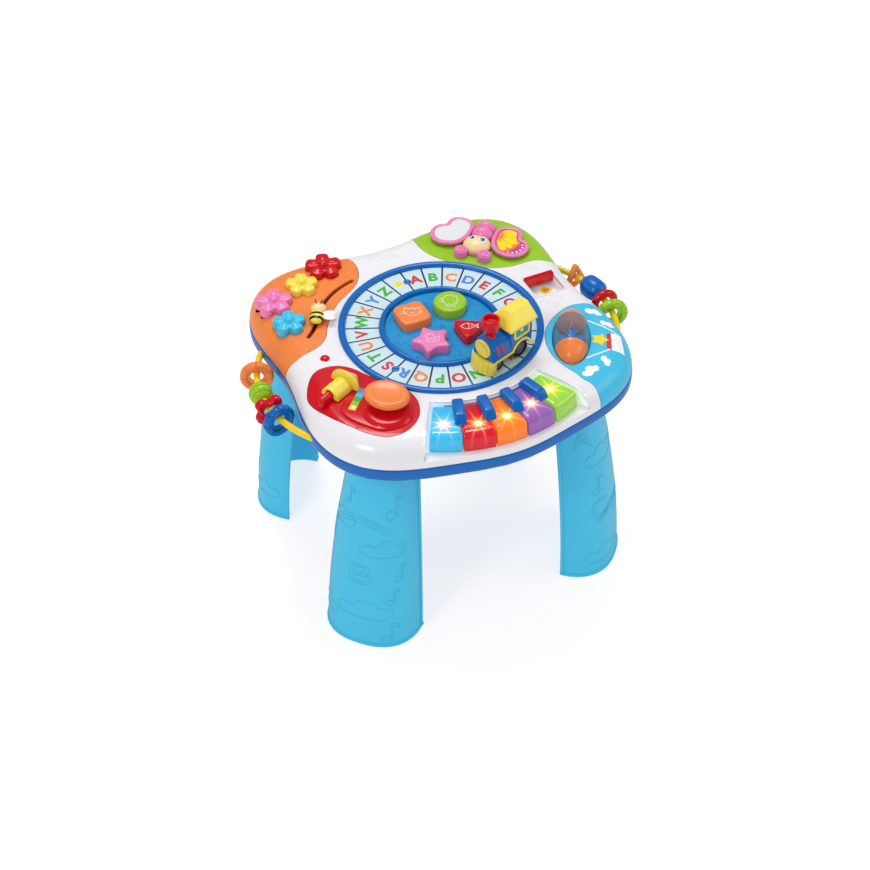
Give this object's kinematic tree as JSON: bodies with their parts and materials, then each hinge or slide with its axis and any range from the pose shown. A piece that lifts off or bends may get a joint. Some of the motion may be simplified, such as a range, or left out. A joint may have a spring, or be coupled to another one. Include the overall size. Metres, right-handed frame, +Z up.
{
  "type": "activity table",
  "caption": "Child's musical activity table: lobed top on open legs, train on a ring track, press buttons, lit piano keys, bee slot, butterfly, spinner, lever, peekaboo window, bead handles.",
  "frame": {"origin": "centre of the outline on the floor plane, midway between the four feet", "axes": "+Z up; +X to the right hand of a child at the keys; -Y towards that child, where the piano keys are"},
  "size_m": [0.4837, 0.4052, 0.4025],
  "materials": {
    "white_plastic": "glossy moulded white",
    "blue_plastic": "glossy moulded royal blue",
    "sky_plastic": "glossy moulded light blue",
    "yellow_plastic": "glossy moulded yellow",
    "orange_plastic": "glossy moulded orange",
    "red_plastic": "glossy moulded red",
    "pink_plastic": "glossy moulded pink",
    "green_plastic": "glossy moulded lime green",
    "purple_plastic": "translucent purple key",
    "cream_plastic": "glossy moulded cream",
    "black_plastic": "satin black",
    "cone_paper": "black cone and basket",
    "board": "green circuit board with rubber domes",
    "mirror_film": "silvered plastic sheet",
    "clear_plastic": "clear smoke plastic"
  },
  "bodies": {
    "table": {"leg_front_right": "sky_plastic", "leg_front_left": "sky_plastic", "leg_back_right": "sky_plastic", "leg_back_left": "sky_plastic", "base_tray": "blue_plastic", "handle_right": "yellow_plastic", "handle_left": "yellow_plastic", "battery_door": "blue_plastic", "speaker": "cone_paper", "circuit_board": "board", "top_cover": "white_plastic", "track_channel": "blue_plastic", "island_plate": "sky_plastic", "flower_panel": "orange_plastic", "meadow_panel": "green_plastic", "butterfly_body": "pink_plastic", "butterfly_head": "cream_plastic", "balloon_panel": "sky_plastic", "lever_panel": "red_plastic", "led_lens": "red_plastic", "sharp_comb": "blue_plastic"},
    "train": {"train_chassis": "yellow_plastic", "train_body": "blue_plastic", "train_roof": "yellow_plastic", "train_chimney": "red_plastic"},
    "rear_wheels": {"train_rear_wheels": "black_plastic"},
    "front_wheels": {"train_front_wheels": "black_plastic"},
    "square_button": {"button_square": "orange_plastic"},
    "round_button": {"button_round": "green_plastic"},
    "triangle_button": {"button_triangle": "red_plastic"},
    "star_button": {"button_star": "pink_plastic"},
    "red_flower": {"flower_red": "red_plastic"},
    "yellow_flower": {"flower_yellow": "yellow_plastic"},
    "pink_flower": {"flower_pink": "pink_plastic"},
    "blue_flower": {"flower_blue": "sky_plastic"},
    "bee_carrier": {"bee_keeper": "red_plastic"},
    "bee_body": {"bee": "yellow_plastic"},
    "mirror_wing_body": {"mirror_wing": "pink_plastic", "mirror": "mirror_film"},
    "pattern_wing_body": {"pattern_wing": "pink_plastic"},
    "spinner": {"spinner_shell": "orange_plastic", "spinner_window": "clear_plastic", "spinner_plane": "blue_plastic"},
    "paddle_body": {"paddle": "orange_plastic"},
    "arrow_body": {"arrow_slider": "yellow_plastic"},
    "shutter": {"window_shutter": "red_plastic"},
    "switch": {"power_switch": "black_plastic"},
    "blue_key": {"key_blue": "sky_plastic"},
    "red_key": {"key_red": "red_plastic"},
    "orange_key": {"key_orange": "orange_plastic"},
    "purple_key": {"key_purple": "purple_plastic"},
    "green_key": {"key_green": "green_plastic"},
    "left_octagon_back_bead": {"bead_left_octagon_back": "orange_plastic"},
    "left_ball_bead": {"bead_left_ball": "green_plastic"},
    "left_lobed_bead": {"bead_left_lobed": "red_plastic"},
    "left_octagon_front_bead": {"bead_left_octagon_front": "blue_plastic"},
    "right_triangle_bead": {"bead_right_triangle": "orange_plastic"},
    "right_barrel_bead": {"bead_right_barrel": "blue_plastic"},
    "right_plain_bead": {"bead_right_plain": "red_plastic"},
    "right_octagon_bead": {"bead_right_octagon": "green_plastic"}
  },
  "joints": [
    {"name": "train_travel", "type": "hinge", "parent": "table", "child": "train", "pos_m": [0, 0.0028, 0.34], "axis": [0, 0, 1], "continuous": true},
    {"name": "train_rear_roll", "type": "hinge", "parent": "train", "child": "rear_wheels", "pos_m": [0.05467, -0.07303, 0.3448], "axis": [0.3256, -0.9455, 0], "continuous": true},
    {"name": "train_front_roll", "type": "hinge", "parent": "train", "child": "front_wheels", "pos_m": [0.02157, -0.08443, 0.34], "axis": [0.3256, -0.9455, 0], "continuous": true},
    {"name": "square_press", "type": "slide", "parent": "table", "child": "square_button", "axis": [0, 0, 1], "range_m": [-0.003, 0], "stiffness_N_per_m": 150},
    {"name": "round_press", "type": "slide", "parent": "table", "child": "round_button", "axis": [0, 0, 1], "range_m": [-0.003, 0], "stiffness_N_per_m": 150},
    {"name": "triangle_press", "type": "slide", "parent": "table", "child": "triangle_button", "axis": [0, 0, 1], "range_m": [-0.003, 0], "stiffness_N_per_m": 150},
    {"name": "star_press", "type": "slide", "parent": "table", "child": "star_button", "axis": [0, 0, 1], "range_m": [-0.003, 0], "stiffness_N_per_m": 150},
    {"name": "flower_red_press", "type": "slide", "parent": "table", "child": "red_flower", "axis": [0, 0, 1], "range_m": [-0.003, 0], "stiffness_N_per_m": 150},
    {"name": "flower_yellow_press", "type": "slide", "parent": "table", "child": "yellow_flower", "axis": [0, 0, 1], "range_m": [-0.003, 0], "stiffness_N_per_m": 150},
    {"name": "flower_pink_press", "type": "slide", "parent": "table", "child": "pink_flower", "axis": [0, 0, 1], "range_m": [-0.003, 0], "stiffness_N_per_m": 150},
    {"name": "flower_blue_press", "type": "slide", "parent": "table", "child": "blue_flower", "axis": [0, 0, 1], "range_m": [-0.003, 0], "stiffness_N_per_m": 150},
    {"name": "bee_near_arc", "type": "hinge", "parent": "table", "child": "bee_carrier", "pos_m": [-0.2127, 0.1299, 0.333], "axis": [0, 0, 1], "range_deg": [-21, 0]},
    {"name": "bee_far_arc", "type": "hinge", "parent": "bee_carrier", "child": "bee_body", "pos_m": [-0.0395, 0.0299, 0.333], "axis": [0, 0, -1], "range_deg": [0, 48]},
    {"name": "mirror_wing_flap", "type": "hinge", "parent": "table", "child": "mirror_wing_body", "pos_m": [0.11726, 0.15025, 0.3372], "axis": [0.6997, 0.7145, 0], "range_deg": [0, 17]},
    {"name": "pattern_wing_flap", "type": "hinge", "parent": "table", "child": "pattern_wing_body", "pos_m": [0.13654, 0.13135, 0.3372], "axis": [-0.6997, -0.7145, 0], "range_deg": [0, 17]},
    {"name": "spinner_turn", "type": "hinge", "parent": "table", "child": "spinner", "pos_m": [0.12865, -0.08453, 0.334], "axis": [0.4787, 0.878, 0], "continuous": true},
    {"name": "paddle_rock", "type": "hinge", "parent": "table", "child": "paddle_body", "pos_m": [-0.118, -0.1003, 0.3255], "axis": [-0.8192, 0.5736, 0], "range_deg": [-8, 8], "stiffness_Nm_per_rad": 0.3},
    {"name": "arrow_pull", "type": "slide", "parent": "table", "child": "arrow_body", "axis": [0.891, 0.454, 0], "range_m": [-0.011, 0]},
    {"name": "shutter_slide", "type": "slide", "parent": "table", "child": "shutter", "axis": [0, 1, 0], "range_m": [-0.028, 0]},
    {"name": "switch_slide", "type": "slide", "parent": "table", "child": "switch", "axis": [0, 1, 0], "range_m": [0, 0.005]},
    {"name": "blue_key_press", "type": "hinge", "parent": "table", "child": "blue_key", "pos_m": [-0.05411, -0.12849, 0.3335], "axis": [0.9245, -0.3811, 0], "range_deg": [0, 4], "stiffness_Nm_per_rad": 1.2},
    {"name": "red_key_press", "type": "hinge", "parent": "table", "child": "red_key", "pos_m": [-0.02758, -0.1365, 0.3335], "axis": [0.981, -0.1942, 0], "range_deg": [0, 4], "stiffness_Nm_per_rad": 1.2},
    {"name": "orange_key_press", "type": "hinge", "parent": "table", "child": "orange_key", "pos_m": [0, -0.1392, 0.3335], "axis": [1, 0, 0], "range_deg": [0, 4], "stiffness_Nm_per_rad": 1.2},
    {"name": "purple_key_press", "type": "hinge", "parent": "table", "child": "purple_key", "pos_m": [0.02758, -0.1365, 0.3335], "axis": [0.981, 0.1942, 0], "range_deg": [0, 4], "stiffness_Nm_per_rad": 1.2},
    {"name": "green_key_press", "type": "hinge", "parent": "table", "child": "green_key", "pos_m": [0.05411, -0.12849, 0.3335], "axis": [0.9245, 0.3811, 0], "range_deg": [0, 4], "stiffness_Nm_per_rad": 1.2},
    {"name": "left_octagon_back_swing", "type": "hinge", "parent": "table", "child": "left_octagon_back_bead", "pos_m": [-0.21519, 0.05948, 0.2945], "axis": [-0.3665, -0.9304, 0], "range_deg": [-30, 30]},
    {"name": "left_ball_swing", "type": "hinge", "parent": "table", "child": "left_ball_bead", "pos_m": [-0.22395, 0.02498, 0.2945], "axis": [-0.1219, -0.9925, 0], "continuous": true},
    {"name": "left_lobed_swing", "type": "hinge", "parent": "table", "child": "left_lobed_bead", "pos_m": [-0.22471, -0.0013, 0.2945], "axis": [0.0645, -0.9979, 0], "range_deg": [-30, 30]},
    {"name": "left_octagon_front_swing", "type": "hinge", "parent": "table", "child": "left_octagon_front_bead", "pos_m": [-0.22139, -0.02392, 0.2945], "axis": [0.225, -0.9744, 0], "range_deg": [-30, 30]},
    {"name": "right_triangle_swing", "type": "hinge", "parent": "table", "child": "right_triangle_bead", "pos_m": [0.21473, 0.06062, 0.2945], "axis": [-0.3746, 0.9272, 0], "range_deg": [-30, 30]},
    {"name": "right_barrel_swing", "type": "hinge", "parent": "table", "child": "right_barrel_bead", "pos_m": [0.22342, 0.02888, 0.2945], "axis": [-0.1495, 0.9888, 0], "continuous": true},
    {"name": "right_plain_swing", "type": "hinge", "parent": "table", "child": "right_plain_bead", "pos_m": [0.22491, 0.00288, 0.2945], "axis": [0.0349, 0.9994, 0], "range_deg": [-30, 30]},
    {"name": "right_octagon_swing", "type": "hinge", "parent": "table", "child": "right_octagon_bead", "pos_m": [0.22217, -0.02031, 0.2945], "axis": [0.1994, 0.9799, 0], "range_deg": [-30, 30]}
  ],
  "couplings": [
    {"joint": "train_rear_roll", "follows": "train_travel", "ratio": -7.4583},
    {"joint": "train_front_roll", "follows": "train_travel", "ratio": -12.431}
  ]
}
